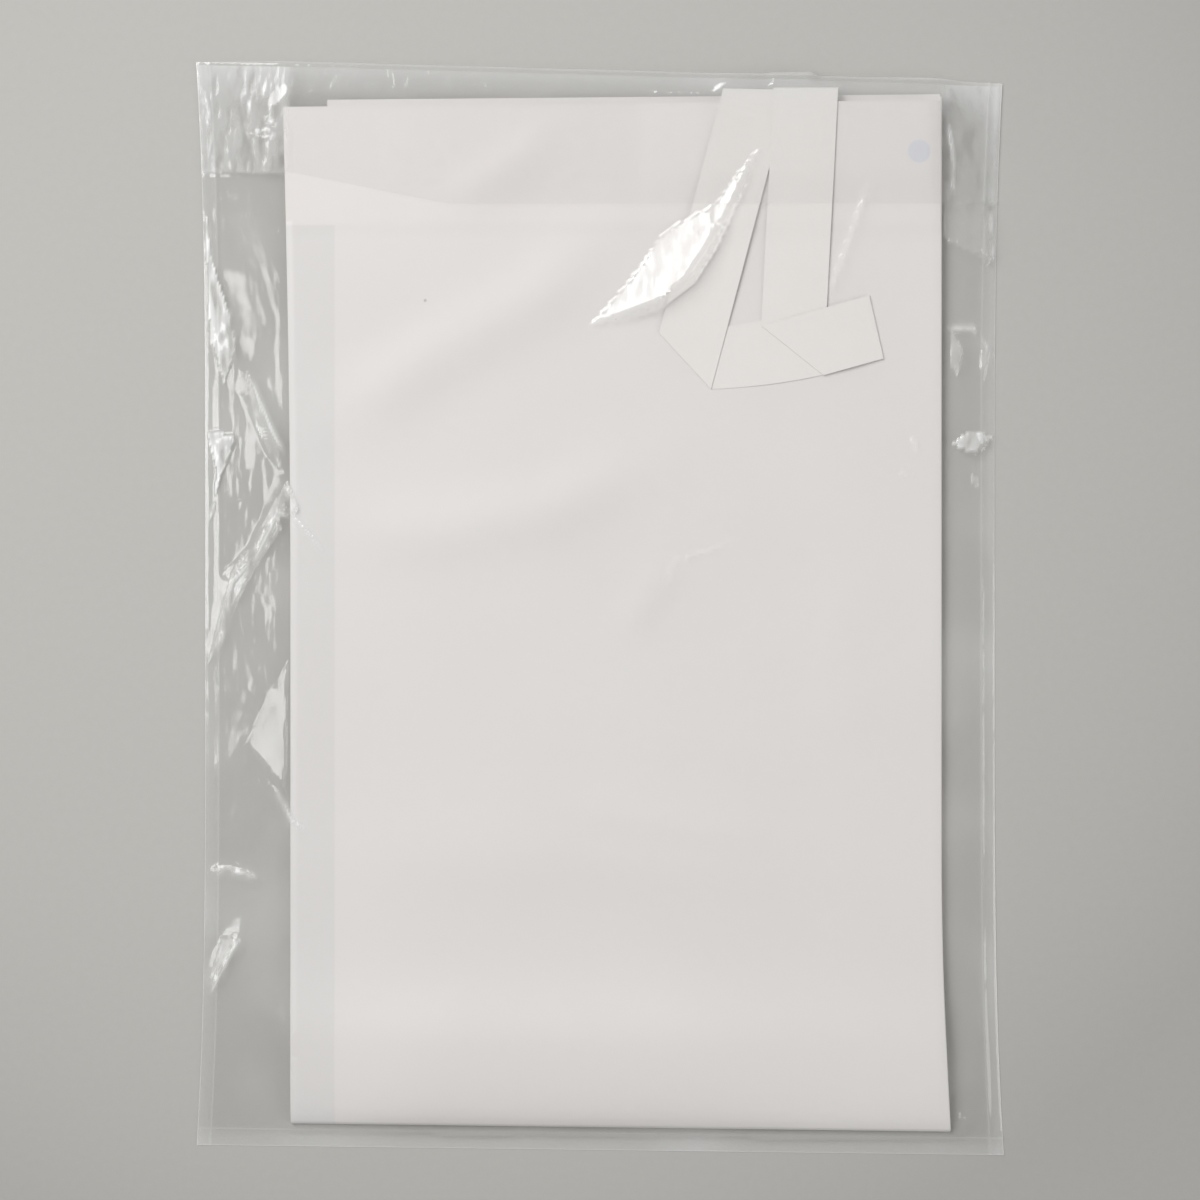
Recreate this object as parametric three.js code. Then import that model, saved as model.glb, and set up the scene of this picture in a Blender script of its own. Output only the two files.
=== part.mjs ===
// A white vinyl storage bag, folded flat and packed in a clear film sleeve with a tucked-over flap.
// Millimetres. +X runs to the pack's right, +Y to its top, +Z out of its front.
// The pack lies on its back, with the origin under the middle of its outline.
import * as THREE from "three";

// Clearance between two pieces that touch
const clearance = 0.3;

// White bag as it lies folded: once from the side, then once from below
const bagWidth = 242.4;
const bagHeight = 381;
const wallThick = 0.15;
const pocketGap = 0.15;
const leafGap = 0.15;
const coreGap = 0.2;
const hemDepth = 45;
const hemStep = 1.2;
const rearInset = 16.5;
const rearProud = 2.6;
const endShort = 8;
const endSeam = 6;
const topFlare = 3;
const footFlare = 3.4;
const mouthRise = 2.2;

// Clear sleeve round the bag
const filmThick = 0.08;
const leftMargin = 35;
const rightMargin = 23;
const topRoom = 10.2;
const footRoom = 2.2;
const weldBand = 6.3;
const sideCrease = 0.6;
const waist = 3.3;
const topLean = 8.2;
const footLean = 3.8;
const flapLength = 50;
const flapLift = 11.5;
const mouthDrop = 0.5;
const filmSlack = 0.15;
const sideRoom = 1;
const mouthRoom = 4;
const topEase = 16;
const footEase = 12;
const footShare = 0.74;
const strapEase = 14;
const creaseHeight = 1.3;
const creaseWidth = 9;
const flapRowGap = 1.5;

// Tape strap: a loop that hangs out of the bag's mouth and is folded down over its front
const strapWidth = 24;
const strapThick = 0.2;
const strapLoft = 0.4;
const strapRise = 4.8;
const strapTuck = 20;
const strapFromFold = 50.8;
const strapSpread = 18.3;
const strapSlack = 4.5;
const leftTailLean = 5.5;
const rightTailLean = 1.5;
const rightTopRise = 0.6;

// Corners of the strap's middle line: how far right of its left top and how far down they lie
const leftTurn = { across: -26.5, down: 100.9 };
const endCrease = { across: 44.8, down: 88.2 };
const rightTurn = { across: 13.4, down: 97 };

// Snap that closes the mouth: two discs welded inside the walls
const snapDiameter = 8.8;
const snapFromFold = 8.7;
const snapFromMouth = 18.9;
const snapFlange = 0.3;
const snapRing = 0.5;
const snapHeadDiameter = 3.4;
const snapRingWall = 0.9;
const snapRoom = 0.4;

// Room in the mouth round the snap and the strap's tails, where its walls part
const liftRoomBelow = 3;
const liftRoomLeft = 6;
const liftRoomRight = 1;
const liftFall = 25;

const { lerp, clamp } = THREE.MathUtils;
const ramp = (value, start, end) => clamp((value - start) / (end - start), 0, 1);
const spaced = (from, to, steps) => Array.from({ length: steps + 1 }, (_, i) => lerp(from, to, i / steps));

// Outline of the pack, seen from the front
const sleeveWidth = leftMargin + bagWidth + rightMargin;
const sleeveHeight = weldBand + footRoom + bagHeight + rearProud + topRoom;
const footLevel = (topLean / 2 - footLean / 2 - sleeveHeight) / 2 - (topLean - footLean) / 2;
const bagRight0 = sleeveWidth / 2 - rightMargin;
const bagLeft0 = bagRight0 - bagWidth;
const sleeveFoot = (x) => footLevel - (footLean * x) / sleeveWidth;
const weldLine = (x) => sleeveFoot(x) + weldBand;
const sleeveTop = (x) => footLevel + sleeveHeight - (topLean * x) / sleeveWidth;
const bagFoot = (x) => weldLine(x) + footRoom;
const bagMouth = (x) => footLevel + weldBand + footRoom + bagHeight + (mouthRise * x) / bagWidth;
const bagShare = (y) => (y - bagFoot(0)) / bagHeight;
const bagLeft = (y) => bagLeft0 - topFlare * ramp(bagShare(y), 0.5, 1) ** 2;
const bagRight = (y) => bagRight0 + footFlare * ramp(bagShare(y), 0.27, 0) ** 2;
const sleeveSide = (y) => sleeveWidth / 2 - waist * (1 - Math.abs((2 * y) / sleeveHeight) ** 4);

// Heights over the surface that the pack lies on. A folded half of the bag is four walls.
const stackThick = (wall) => 4 * wall + 2 * pocketGap + leafGap;
const hemWall = 2 * wallThick;
const foldCentre = filmThick + clearance + stackThick(wallThick) + coreGap / 2;
const plainFace = foldCentre + coreGap / 2 + stackThick(wallThick);
const hemFace = foldCentre + coreGap / 2 + stackThick(hemWall);

// Inside the mouth the walls part round the snap and the tails of the strap
const snapHeight = 2 * snapFlange + snapRing + clearance;
const tailsHeight = 2 * strapThick + strapLoft;
const liftHeight = Math.max(snapHeight, tailsHeight) + 2 * clearance - pocketGap;
const liftDepth = Math.max(snapFromMouth + snapDiameter / 2, strapTuck) + liftRoomBelow;
const snapX = bagRight0 - snapFromFold;
const liftRight = snapX + snapDiameter / 2 + snapRoom;
const strapRight = bagRight0 - strapFromFold;
const strapLeft = strapRight - strapSpread;
const liftLeft = strapLeft - strapWidth / 2 - liftRoomLeft;
function lift(x, y) {
  const across = ramp(x, liftLeft - liftFall, liftLeft) * ramp(x, bagRight0 - liftRoomRight, liftRight);
  return liftHeight * across * ramp(bagMouth(x) - y, liftDepth + liftFall, liftDepth);
}

// Zone of the front that the strap lies on
const zoneLeft = strapLeft + leftTurn.across - strapWidth / 2;
const zoneRight = strapLeft + endCrease.across + strapWidth / 8;
const zoneFoot = bagMouth(0) + strapRise - leftTurn.down - strapWidth / 2;
const strapStack = 3 * strapThick + 2 * strapLoft + clearance;

// Height of the stack's edge round the foot, and of its front face
const footRound = coreGap / 2 + stackThick(wallThick);
const frontFace = (x, y) => (bagMouth(x) - y < hemDepth + hemStep ? hemFace : plainFace) + lift(x, y);

// Triangles of one closed piece, collected from sheets of points
class Skin {
  constructor() {
    this.points = [];
  }
  triangle(a, b, c) {
    this.points.push(a, b, c);
  }
  quad(a, b, c, d) {
    this.triangle(a, b, c);
    this.triangle(a, c, d);
  }
  // Joins rows of equal length one to the next, and each row's end to its start if it is a ring.
  // Each four-sided face is split along one diagonal, or along the other if the sheet is swapped.
  sheet(rows, { ring = false, swapped = false } = {}) {
    for (let r = 0; r + 1 < rows.length; r++) {
      const count = rows[r].length;
      for (let c = 0; c < (ring ? count : count - 1); c++) {
        const next = (c + 1) % count;
        const corners = [rows[r][c], rows[r][next], rows[r + 1][next], rows[r + 1][c]];
        if (swapped) corners.push(corners.shift());
        this.quad(...corners);
      }
    }
  }
  // Closes a ring whose first half runs along one side and whose second half runs back
  cap(ring, side) {
    for (let i = 0; i + 1 < side; i++) {
      const back = ring.length - 1 - i - (ring.length - 2 * side) / 2;
      this.quad(ring[i], ring[i + 1], ring[back - 1], ring[back]);
    }
    if (ring.length > 2 * side) {
      this.triangle(ring[side - 1], ring[side], ring[side + 1]);
      this.triangle(ring[ring.length - 2], ring[ring.length - 1], ring[0]);
    }
  }
  mesh(name, material) {
    const geometry = new THREE.BufferGeometry().setFromPoints(this.points);
    geometry.computeVertexNormals();
    const made = new THREE.Mesh(geometry, material);
    made.name = name;
    return made;
  }
}

// White bag: a flat pocket of two walls, hemmed at the mouth and seamed at its end
function foldedBag(material) {
  const rightBend = spaced(0, Math.PI, 5).slice(1, -1);
  const inFront = [
    liftLeft - liftFall,
    liftLeft - liftFall / 2,
    liftLeft,
    strapRight,
    snapX - snapDiameter / 2 - snapRoom,
    liftRight,
  ];
  const edgeRound = wallThick + pocketGap / 2;
  const stations = [
    { turn: 0, x: (y) => bagLeft(y) + edgeRound },
    ...inFront.map((x) => ({ turn: 0, x: () => x })),
    ...[0, ...rightBend, Math.PI].map((turn) => ({
      turn,
      x: (y, thick) => bagRight(y) - thick / 2,
    })),
    { turn: Math.PI, x: () => snapX },
    { turn: Math.PI, x: (y) => bagLeft(y) + rearInset + edgeRound },
  ];
  const rows = [0, 0.5, 1].map((share) => ({ down: liftDepth * share, wall: hemWall }));
  rows.push({ down: liftDepth + liftFall / 2, wall: hemWall });
  rows.push({ down: hemDepth, wall: hemWall });
  rows.push({ down: hemDepth + hemStep, wall: wallThick });
  rows.push({ down: Math.max(liftDepth + liftFall, hemDepth + 2 * hemStep), wall: wallThick });
  rows.push(...[0.3, 0.5, 0.73, 0.87].map((share) => ({ down: bagHeight * share, wall: wallThick })));
  rows.push(...spaced(0, Math.PI, 8).map((bend) => ({ bend, wall: wallThick })));
  rows.push({ bend: Math.PI, up: 0.13, wall: wallThick });
  rows.push({ bend: Math.PI, up: 0.27, wall: wallThick });
  rows.push({ bend: Math.PI, up: 0.6, wall: wallThick });
  const seamShare = 1 - endSeam / bagHeight;
  rows.push({ bend: Math.PI, up: seamShare, wall: wallThick });
  rows.push({ bend: Math.PI, up: 1, wall: wallThick });

  // A point of the section, held at a distance from the middle of the side fold
  function point(station, radius, row, inward = 0) {
    const thick = stackThick(row.wall);
    const x0 = station.x(0, thick);
    const mouth = bagMouth(x0) + (rearProud * station.turn) / Math.PI;
    const straightEnd = bagFoot(x0) + footRound;
    let y = straightEnd;
    if (row.bend === undefined) y = lerp(mouth, straightEnd, row.down / (bagHeight - footRound));
    if (row.up) y = lerp(straightEnd, bagMouth(x0) - endShort, row.up);
    const fromCore = coreGap / 2 + thick / 2 + radius * Math.cos(station.turn);
    const bend = row.bend ?? 0;
    const raised = station.turn === 0 && radius > leafGap / 2 + wallThick * 2 ? lift(x0, y) : 0;
    return new THREE.Vector3(
      station.x(y, thick) + radius * Math.sin(station.turn) + inward,
      y - fromCore * Math.sin(bend),
      foldCentre + fromCore * Math.cos(bend) + (row.bend === undefined ? raised : 0),
    );
  }

  // One ring of the section: along the outer wall, round its side edge and back along the inner wall
  function ring(row, outside) {
    const thick = stackThick(row.wall);
    const front = thick / 2 - (outside ? 0 : row.wall);
    const rear = leafGap / 2 + (outside ? 0 : row.wall);
    const inward = outside ? -edgeRound : wallThick - edgeRound;
    const outer = stations.map((station) => point(station, front, row));
    const inner = stations.map((station) => point(station, rear, row)).reverse();
    const farEdge = point(stations.at(-1), (front + rear) / 2, row, inward);
    const nearEdge = point(stations[0], (front + rear) / 2, row, inward);
    return [...outer, farEdge, ...inner, nearEdge];
  }

  const skin = new Skin();
  const outside = rows.map((row) => ring(row, true)).reverse();
  const inside = rows.slice(0, -1).map((row) => ring(row, false));
  skin.sheet(outside, { ring: true });
  skin.sheet([outside.at(-1), inside[0]], { ring: true });
  skin.sheet(inside, { ring: true, swapped: true });
  skin.cap([...outside[0]].reverse(), stations.length);
  skin.cap(inside.at(-1), stations.length);
  return skin.mesh("folded_bag", material);
}

// Tape strap: a flat strip that turns over at each corner of its centre line
function carryStrap(material) {
  const top = bagMouth(strapLeft) + strapRise;
  const corner = ({ across, down }) => new THREE.Vector2(strapLeft + across, top - down);
  const pitch = strapThick + strapLoft;
  const onFace = (level) => (x, y) => frontFace(x, y) + clearance + strapThick / 2 + level * pitch;
  const inPocket = (level) => () =>
    hemFace + liftHeight - hemWall - clearance - strapThick / 2 - level * pitch;
  // Spans between the corners, each with its height over the face at its start and its end
  const ends = [
    corner({ across: leftTailLean, down: strapTuck + strapRise }),
    corner({ across: 0, down: 0 }),
    corner(leftTurn),
    corner(endCrease),
    corner(rightTurn),
    corner({ across: strapSpread, down: -rightTopRise }),
    corner({ across: strapSpread + rightTailLean, down: strapTuck + strapRise }),
  ];
  const spans = [
    { steps: 3, from: inPocket(0), to: inPocket(0), bow: 0 },
    { steps: 12, from: onFace(0), to: onFace(1), bow: 0 },
    { steps: 9, from: onFace(0), to: onFace(0), bow: -strapSlack / 2 },
    { steps: 5, from: onFace(2), to: onFace(2), bow: 0 },
    { steps: 12, from: onFace(1), to: onFace(1), bow: 0 },
    { steps: 3, from: inPocket(1), to: inPocket(1), bow: 0 },
  ];
  const along = (i) => ends[i + 1].clone().sub(ends[i]).normalize();
  const cross = (v) => new THREE.Vector2(-v.y, v.x);

  // The line that the strip turns over at a corner, and how far the turn reaches
  function turnAt(i) {
    const into = along(i - 1);
    const away = along(i);
    const line = into.clone().add(away).normalize();
    if (line.dot(cross(into)) < 0) line.negate();
    const out = into.clone().sub(away).normalize();
    const half = strapWidth / 2 / Math.abs(line.dot(cross(into)));
    const low = spans[i - 1].to(ends[i].x, ends[i].y - strapRise);
    const high = spans[i].from(ends[i].x, ends[i].y - strapRise);
    return { line, out, half, low, high, slide: line.dot(into) / out.dot(into) };
  }

  // One ruling of the strip: its first edge, middle and second edge
  const ruling = (centre, line, half) =>
    [1, 0, -1].map((side) => centre.clone().addScaledVector(line, side * half));
  const turns = ends.map((_, i) => (i > 0 && i + 1 < ends.length ? turnAt(i) : null));
  const rows = [];
  spans.forEach((span, i) => {
    const before = turns[i];
    const after = turns[i + 1];
    // The strip's first edge stays its first edge, on the other hand of its course after each turn
    const firstEdge = cross(along(i)).multiplyScalar(i % 2 ? -1 : 1);
    const border = (turn, end, sign) => {
      if (!turn) return ruling(end, firstEdge, strapWidth / 2);
      const reach = Math.abs(turn.high - turn.low) / 2;
      const centre = end.clone().addScaledVector(turn.out, -reach - strapThick / 2);
      centre.addScaledVector(turn.line, sign * reach * turn.slide);
      const line = turn.line.clone();
      if (line.dot(firstEdge) < 0) line.negate();
      return ruling(centre, line, turn.half);
    };
    const first = border(before, ends[i], 1);
    const last = border(after, ends[i + 1], -1);
    for (const share of spaced(0, 1, span.steps)) {
      const bow = 4 * span.bow * share * (1 - share);
      rows.push(
        first.map((start, k) => {
          const flat = start.clone().lerp(last[k], share).addScaledVector(cross(along(i)), bow);
          const height = lerp(span.from(flat.x, flat.y), span.to(flat.x, flat.y), share);
          return new THREE.Vector3(flat.x, flat.y, height);
        }),
      );
    }
    if (!after) return;
    const reach = Math.abs(after.high - after.low) / 2;
    const edge = rows.at(-1);
    for (const angle of spaced(0, Math.PI, 7).slice(1, -1)) {
      const slid = reach * after.slide * ((2 * angle) / Math.PI);
      rows.push(
        edge.map((start) => {
          const flat = new THREE.Vector2(start.x, start.y);
          flat.addScaledVector(after.out, reach * Math.sin(angle)).addScaledVector(after.line, slid);
          return new THREE.Vector3(flat.x, flat.y, lerp(after.low, after.high, (1 - Math.cos(angle)) / 2));
        }),
      );
    }
  });

  const rings = rows.map((row, r) => {
    const ahead = rows[Math.min(r + 1, rows.length - 1)][1];
    const behind = rows[Math.max(r - 1, 0)][1];
    const normal = new THREE.Vector3().subVectors(ahead, behind);
    normal.cross(new THREE.Vector3().subVectors(row[0], row[2])).setLength(strapThick / 2);
    const upper = row.map((p) => p.clone().add(normal));
    const lower = row.map((p) => p.clone().sub(normal)).reverse();
    return [...upper, ...lower];
  });
  const skin = new Skin();
  skin.sheet(rings.map((ring) => ring.slice(0, 3)));
  skin.sheet(rings.map((ring) => ring.slice(2, 4)));
  skin.sheet(rings.map((ring) => ring.slice(3)), { swapped: true });
  skin.sheet(rings.map((ring) => [ring[5], ring[0]]));
  skin.cap([...rings[0]].reverse(), 3);
  skin.cap(rings.at(-1), 3);
  return skin.mesh("carry_strap", material);
}

// Half of the snap: a thin disc with a turned middle, pointing up along +Z
function snapHalf(name, profile, material) {
  const points = profile.map(([radius, height]) => new THREE.Vector2(radius, height));
  const geometry = new THREE.LatheGeometry(points, 28);
  geometry.rotateX(Math.PI / 2);
  const half = new THREE.Mesh(geometry, material);
  half.name = name;
  return half;
}

// Stud disc on the rear wall and socket disc under the front wall, pressed together
function snap(material) {
  const flange = snapDiameter / 2;
  const head = snapHeadDiameter / 2;
  const bore = head + clearance;
  const headHeight = snapFlange + snapRing;
  const stud = snapHalf(
    "snap_stud",
    [
      [0, 0],
      [flange, 0],
      [flange, snapFlange],
      [head * 0.8, snapFlange],
      [head, snapFlange + snapRing / 2],
      [head * 0.85, headHeight],
      [0, headHeight],
    ],
    material,
  );
  const socketTop = snapHeight - snapFlange;
  const ringFoot = socketTop - snapRing;
  const socket = snapHalf(
    "snap_socket",
    [
      [0, socketTop],
      [bore, socketTop],
      [bore, ringFoot],
      [bore + snapRingWall, ringFoot],
      [bore + snapRingWall, socketTop],
      [flange, socketTop],
      [flange, snapHeight],
      [0, snapHeight],
    ],
    material,
  );
  const pair = new THREE.Group();
  pair.add(stud, socket);
  const y = bagMouth(snapX) - snapFromMouth;
  pair.position.set(snapX, y, hemFace - hemWall - pocketGap + clearance);
  return pair;
}

// Creases of the film over its two margins. Each end is given as a share of the way in from the side,
// and as a share of the way up from the middle of the pack to its top.
const creases = [
  { side: -1, from: [0.4, 0.44], to: [1, 0.27] },
  { side: -1, from: [0.1, 0.32], to: [0.4, 0.32] },
  { side: -1, from: [1, 0.235], to: [0.1, -0.105] },
  { side: -1, from: [1, -0.095], to: [0.5, -0.25] },
  { side: -1, from: [0.3, -0.615], to: [0.1, -0.725] },
  { side: 1, from: [1, 0.515], to: [0.1, 0.515] },
  { side: 1, from: [0.9, 0.305], to: [0.1, 0.275] },
  { side: 1, from: [0.8, -0.1], to: [0.2, -0.45] },
];

// Height of the front film's middle over everything that it covers
function filmHeight(x, y) {
  const side = sleeveSide(y) - sideCrease;
  const leftShare = ramp(x, -side, bagLeft(y) - sideRoom);
  const rightShare = ramp(x, side, bagRight(y) + sideRoom);
  const zoneAcross = ramp(x, zoneLeft - strapEase, zoneLeft) * ramp(x, zoneRight + strapEase, zoneRight);
  const zone = zoneAcross * ramp(y, zoneFoot - strapEase, zoneFoot);
  const full = hemFace + clearance + filmSlack + lift(x, y) + zone * strapStack;
  const top = bagMouth(x) + Math.max(rearProud, strapRise * zoneAcross) + clearance;
  const overTop = 1 - ramp(y, top, top + topEase) / 2;
  const overFoot = ramp(y, weldLine(x), lerp(weldLine(x), bagFoot(x) + footRound, footShare));
  const height = (full - 1.5 * filmThick) * leftShare * rightShare * overTop * overFoot;
  return 1.5 * filmThick + height + creaseAt(x, y, leftShare, rightShare);
}

// Extra height of the nearest crease
function creaseAt(x, y, leftShare, rightShare) {
  const share = x < 0 ? leftShare : rightShare;
  const margin = x < 0 ? leftMargin : rightMargin;
  const heights = creases
    .filter((crease) => crease.side === Math.sign(x))
    .map(({ from, to }) => {
      const start = new THREE.Vector3(from[0] * margin, (from[1] * sleeveHeight) / 2, 0);
      const end = new THREE.Vector3(to[0] * margin, (to[1] * sleeveHeight) / 2, 0);
      const here = new THREE.Vector3(share * margin, y, 0);
      const nearest = new THREE.Line3(start, end).closestPointToPoint(here, true, new THREE.Vector3());
      return creaseHeight * ramp(here.distanceTo(nearest), creaseWidth, 0);
    });
  return Math.max(0, ...heights) * ramp(share, 0, 0.15);
}

// Clear sleeve: a pocket of one film, welded along its foot, whose rear runs on over the top as a flap
function clearSleeve(material) {
  const inEdge = (share) => (y) => lerp(-sleeveSide(y) + sideCrease, bagLeft(y) - sideRoom, share);
  const outEdge = (share) => (y) => lerp(sleeveSide(y) - sideCrease, bagRight(y) + sideRoom, share);
  const middle = [
    lerp(bagLeft0, zoneLeft, 0.33),
    lerp(bagLeft0, zoneLeft, 0.66),
    zoneLeft - strapEase,
    liftLeft - liftFall,
    zoneLeft,
    liftLeft,
    strapRight,
    zoneRight,
    zoneRight + strapEase,
    liftRight,
  ].sort((a, b) => a - b);
  const columns = [
    (y) => -sleeveSide(y),
    ...spaced(0, 1, 5).map(inEdge),
    ...middle.map((x) => () => x),
    ...spaced(1, 0, 4).map(outEdge),
    (y) => sleeveSide(y),
  ];
  const last = columns.length - 1;
  const rows = [
    sleeveFoot,
    weldLine,
    (x) => bagFoot(x) - 0.4 * footRoom,
    (x) => bagFoot(x) + footRound,
    ...spaced(bagFoot(0) + footEase, zoneFoot - strapEase, 16).map((y) => () => y),
    () => zoneFoot,
    () => zoneFoot + strapEase,
    (x) => bagMouth(x) - liftDepth - liftFall,
    (x) => bagMouth(x) - liftDepth - liftFall / 2,
    (x) => bagMouth(x) - liftDepth,
    (x) => bagMouth(x) - liftDepth / 2,
    (x) => bagMouth(x) + rearProud + clearance,
  ];
  const flapGap = clearance + filmThick;
  const foldRadius = (x) => (filmHeight(x, sleeveTop(x) - mouthRoom) + flapGap + filmThick / 2) / 2;
  rows.push((x) => sleeveTop(x) - foldRadius(x) - mouthDrop);
  const place = (column, row) => {
    const x0 = columns[column](0);
    const y = rows[row](x0);
    return new THREE.Vector3(columns[column](y), y, 0);
  };
  const grid = rows.map((_, row) => columns.map((_, column) => place(column, row)));
  const at = (p, z) => new THREE.Vector3(p.x, p.y, z);
  const weldRow = 1;
  const onBand = (row, column) => row <= weldRow || column <= 1 || column >= last - 1;
  const film = (banded, offset) =>
    grid.map((line, row) =>
      line.map((p, column) => at(p, onBand(row, column) ? banded : filmHeight(p.x, p.y) + offset)),
    );
  const front = film(2 * filmThick, filmThick / 2);
  const inside = film(filmThick, -filmThick / 2);
  const mouth = rows.length - 1;
  const within = (line) => line.slice(1, last);
  const mainPart = (line) => line.slice(1, last - 1);
  const rightPart = (line) => line.slice(last - 2, last);

  // Front film, its free edge at the mouth and its inner face. Its right part is split the other way,
  // so that a face rises out of each corner of the foot.
  const skin = new Skin();
  const under = inside.slice(1).reverse();
  skin.sheet(front.map(mainPart));
  skin.sheet(front.map(rightPart), { swapped: true });
  skin.sheet([within(front[mouth]), within(inside[mouth])]);
  skin.sheet(under.map(mainPart), { swapped: true });
  skin.sheet(under.map(rightPart));
  skin.sheet(front.map((line) => line.slice(0, 2)));
  skin.sheet(front.map((line) => line.slice(-2)));
  skin.quad(front[mouth][0], front[mouth][1], inside[mouth][1], inside[mouth][0]);
  skin.quad(front[mouth][last - 1], front[mouth][last], inside[mouth][last], inside[mouth][last - 1]);

  // Rim along the right side, the foot and the left side
  const outline = [
    ...front.map((line) => line[last]).reverse(),
    ...front[0].slice(0, last).reverse(),
    ...front.slice(1).map((line) => line[0]),
  ];
  skin.sheet([2, 1, 0].map((layers) => outline.map((p) => at(p, layers * filmThick))));

  // Fold over the top and the flap, whose outer and inner faces start on the rear film
  const across = columns.map((_, column) => place(column, mouth).x);
  const flapRows = [
    (x) => sleeveTop(x) - foldRadius(x) - mouthDrop,
    (x) => bagMouth(x) + rearProud + clearance,
    (x) => bagMouth(x) - liftDepth / 2,
    (x) => bagMouth(x) - liftDepth,
    () => 0,
  ];
  const flapEnd = (x) => sleeveTop(0) - flapLength + flapLift * ramp(x, lerp(bagLeft0, 0, 0.5), bagLeft0);
  const flapSide = (offset) => {
    const over = (x) => 2 * foldRadius(x) - filmThick / 2 + offset;
    const turned = spaced(0, Math.PI, 6).map((angle) =>
      across.map((x) => {
        const radius = foldRadius(x);
        const reach = radius - filmThick / 2 + offset;
        const y = sleeveTop(x) - radius + reach * Math.sin(angle);
        return new THREE.Vector3(x, y, radius - reach * Math.cos(angle));
      }),
    );
    const flap = flapRows.map((row, i) =>
      columns.map((column, c) => {
        const x = across[c];
        const y = Math.max(row(x), flapEnd(x) + (flapRows.length - 1 - i) * flapRowGap);
        const edge = Math.min(ramp(x, across[0], across[2]), ramp(x, across[last], across[last - 2]));
        const z = lerp(over(x), filmHeight(x, y) + flapGap + offset, edge);
        return new THREE.Vector3(column(y), y, z);
      }),
    );
    return [...turned, ...flap].map((line) => line.reverse());
  };
  const outer = flapSide(filmThick / 2);
  const inner = flapSide(-filmThick / 2);
  skin.sheet(outer);
  skin.sheet([outer.at(-1), inner.at(-1)]);
  skin.sheet([...inner].reverse(), { swapped: true });

  // Rear film under it all: the outer face, and the inner face between the creases of the sides
  const low = grid.map((line) => line.map((p) => at(p, 0)));
  const floor = grid.map((line) => line.map((p) => at(p, filmThick)));
  const top = mouth - 1;
  skin.sheet([[...outer[0]].reverse(), low[mouth], low[top]]);
  skin.sheet([floor[mouth], [...inner[0]].reverse()]);
  skin.sheet([floor[top], floor[mouth]].map(within));
  for (let c = 0; c < last; c++) {
    skin.triangle(low[1][0], low[0][c + 1], low[0][c]);
    skin.triangle(low[top - 1][0], low[top][c], low[top][c + 1]);
  }
  for (let c = 1; c < last - 1; c++) {
    skin.triangle(floor[2][1], floor[1][c], floor[1][c + 1]);
    skin.triangle(floor[top - 1][1], floor[top][c + 1], floor[top][c]);
  }
  skin.triangle(low[1][0], low[1][last], low[0][last]);
  skin.triangle(low[top - 1][0], low[top][last], low[top - 1][last]);
  skin.triangle(floor[2][1], floor[1][last - 1], floor[2][last - 1]);
  skin.triangle(floor[top - 1][1], floor[top - 1][last - 1], floor[top][last - 1]);
  skin.quad(low[1][0], low[2][0], low[2][last], low[1][last]);
  for (let r = weldRow + 1; r < top - 1; r++) {
    skin.quad(low[r][0], low[r + 1][0], low[r + 1][last], low[r][last]);
    skin.quad(floor[r][1], floor[r][last - 1], floor[r + 1][last - 1], floor[r + 1][1]);
  }

  // Edges of the flap, from the mouth round the fold to its end
  const rightOuter = [low[mouth][last], ...outer.map((line) => line[0])];
  const rightInner = [floor[mouth][last], ...inner.map((line) => line[0])];
  const leftOuter = [low[mouth][0], ...outer.map((line) => line[last])];
  const leftInner = [floor[mouth][0], ...inner.map((line) => line[last])];
  skin.sheet([rightOuter, rightInner]);
  skin.sheet([leftInner, leftOuter]);
  return skin.mesh("clear_sleeve", material);
}

const root = new THREE.Group();
root.add(
  clearSleeve(
    new THREE.MeshStandardMaterial({ color: 0xeef0f0, roughness: 0.12, transparent: true, opacity: 0.3 }),
  ),
);
root.add(foldedBag(new THREE.MeshStandardMaterial({ color: 0xdedbd8, roughness: 0.45 })));
root.add(carryStrap(new THREE.MeshStandardMaterial({ color: 0xdcd8d5, roughness: 0.6 })));
root.add(snap(new THREE.MeshStandardMaterial({ color: 0xd3d5d8, roughness: 0.3 })));

export default root;
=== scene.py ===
# A white vinyl storage bag, folded flat in a clear film sleeve whose flap is tucked over its top.
# Lengths in the shape code are millimetres. Shape.piece turns them into metres.
import math
import bmesh
import bpy
import numpy as np
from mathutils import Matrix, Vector


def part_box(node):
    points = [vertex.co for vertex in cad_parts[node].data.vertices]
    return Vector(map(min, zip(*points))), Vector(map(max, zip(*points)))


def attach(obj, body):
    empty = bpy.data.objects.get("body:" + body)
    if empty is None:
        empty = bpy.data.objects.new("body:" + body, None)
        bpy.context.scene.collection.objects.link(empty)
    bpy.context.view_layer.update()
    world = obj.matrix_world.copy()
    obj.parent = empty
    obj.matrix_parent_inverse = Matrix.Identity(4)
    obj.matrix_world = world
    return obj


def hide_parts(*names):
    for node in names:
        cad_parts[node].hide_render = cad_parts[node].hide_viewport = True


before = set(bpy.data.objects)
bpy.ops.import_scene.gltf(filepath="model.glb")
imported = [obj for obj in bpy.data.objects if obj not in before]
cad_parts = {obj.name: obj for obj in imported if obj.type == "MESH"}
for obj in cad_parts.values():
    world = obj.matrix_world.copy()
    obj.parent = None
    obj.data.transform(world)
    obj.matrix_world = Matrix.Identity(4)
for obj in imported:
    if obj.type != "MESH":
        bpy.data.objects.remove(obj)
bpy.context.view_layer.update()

MM = 0.001

# Points nearer than this are joined, and edges that turn by more than this many degrees stay crisp
WELD_DISTANCE = 0.004
CRISP_TURN = 60


def box_mm(node):
    low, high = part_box(node)
    return np.array(low) / MM, np.array(high) / MM


sleeve_low, sleeve_high = box_mm("clear_sleeve")
bag_low, bag_high = box_mm("folded_bag")
snap_low, snap_high = box_mm("snap_socket")

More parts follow.
